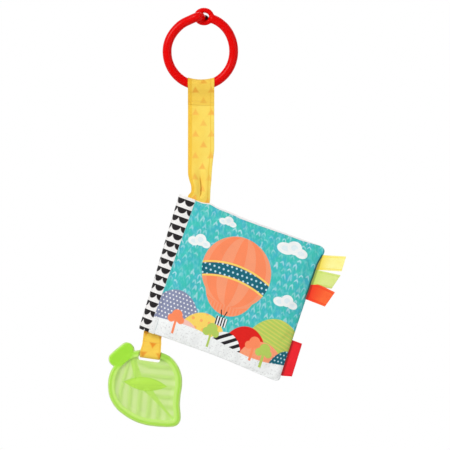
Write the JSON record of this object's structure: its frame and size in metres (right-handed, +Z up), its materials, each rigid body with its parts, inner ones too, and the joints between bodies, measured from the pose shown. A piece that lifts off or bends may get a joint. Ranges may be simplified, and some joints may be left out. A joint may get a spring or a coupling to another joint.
{
  "type": "baby activity book",
  "caption": "Hanging cloth activity book for a baby: a snap ring and ribbon strap carry a padded square book with ribbon tabs, and a leaf-shaped teether hangs from a short loop.",
  "frame": {"origin": "inside of the ring's top, where the bar that it hangs from bears", "axes": "+Z up, -Y the way the front cover faces, +X from the spine to the free edge as seen from the front"},
  "size_m": [0.2247, 0.0172, 0.3993],
  "materials": {
    "ring": "gloss",
    "strap_ribbon": "matt woven ribbon, small orange triangles",
    "spine_print": "matt, black scallops on white",
    "lining": "matt",
    "page_print": "matt",
    "film": "satin",
    "cover_print": "matt printed cloth",
    "batting": "fluffy",
    "yellow_ribbon": "satin ribbon",
    "green_ribbon": "satin ribbon",
    "orange_ribbon": "satin ribbon",
    "red_ribbon": "satin ribbon",
    "teether": "soft satin"
  },
  "bodies": {
    "ring": {"ring_clip": "ring"},
    "strap_top": {"strap_loop": "strap_ribbon"},
    "strap": {"strap_band": "strap_ribbon"},
    "book": {"spine_binding": "spine_print", "front_cover_root": "lining", "back_cover_root": "lining", "page_front_skin": "page_print", "page_back_skin": "page_print", "page_crinkle_film": "film"},
    "front_cover": {"front_cover_print": "cover_print", "front_cover_lining": "lining", "front_cover_batting": "batting"},
    "back_cover": {"back_cover_print": "cover_print", "back_cover_lining": "lining", "back_cover_batting": "batting"},
    "yellow_tag": {"yellow_tab": "yellow_ribbon"},
    "green_tag": {"green_tab": "green_ribbon"},
    "orange_tag": {"orange_tab": "orange_ribbon"},
    "red_tag": {"side_label": "red_ribbon"},
    "loop": {"lower_loop": "strap_ribbon"},
    "teether": {"leaf_teether": "teether"}
  },
  "joints": [
    {"name": "ring_slide", "type": "hinge", "parent": "ring", "child": "strap_top", "pos_m": [0, 0, -0.0282], "axis": [0, 1, 0], "range_deg": [-130, 130]},
    {"name": "strap_fold", "type": "hinge", "parent": "strap_top", "child": "strap", "pos_m": [0, 0, -0.0792], "axis": [1, 0, 0], "range_deg": [-75, 75]},
    {"name": "book_fold", "type": "hinge", "parent": "strap", "child": "book", "pos_m": [-0.0012, 0, -0.1696], "axis": [0.9391, 0, -0.3437], "range_deg": [-75, 75]},
    {"name": "front_cover_open", "type": "hinge", "parent": "book", "child": "front_cover", "pos_m": [-0.02414, -0.0086, -0.23254], "axis": [-0.2957, 0, -0.9553], "range_deg": [0, 170]},
    {"name": "back_cover_open", "type": "hinge", "parent": "book", "child": "back_cover", "pos_m": [-0.02414, 0.0086, -0.23254], "axis": [-0.2957, 0, -0.9553], "range_deg": [-170, 0]},
    {"name": "yellow_tab_bend", "type": "hinge", "parent": "front_cover", "child": "yellow_tag", "pos_m": [0.11359, -0.00535, -0.2291], "axis": [0.2957, 0, 0.9553], "range_deg": [-70, 70]},
    {"name": "green_tab_bend", "type": "hinge", "parent": "front_cover", "child": "green_tag", "pos_m": [0.10859, -0.00535, -0.24322], "axis": [0.2957, 0, 0.9553], "range_deg": [-70, 70]},
    {"name": "orange_tab_bend", "type": "hinge", "parent": "front_cover", "child": "orange_tag", "pos_m": [0.10365, -0.00535, -0.25737], "axis": [0.2957, 0, 0.9553], "range_deg": [-70, 70]},
    {"name": "side_label_bend", "type": "hinge", "parent": "front_cover", "child": "red_tag", "pos_m": [0.08316, -0.00535, -0.319], "axis": [0.2957, 0, 0.9553], "range_deg": [-70, 70]},
    {"name": "loop_fold", "type": "hinge", "parent": "book", "child": "loop", "pos_m": [-0.04537, 0, -0.29775], "axis": [0.9391, 0, -0.3437], "range_deg": [-70, 70]},
    {"name": "teether_swing", "type": "hinge", "parent": "loop", "child": "teether", "pos_m": [-0.04792, 0, -0.31587], "axis": [0.9903, 0, -0.1392], "range_deg": [-85, 85]}
  ]
}
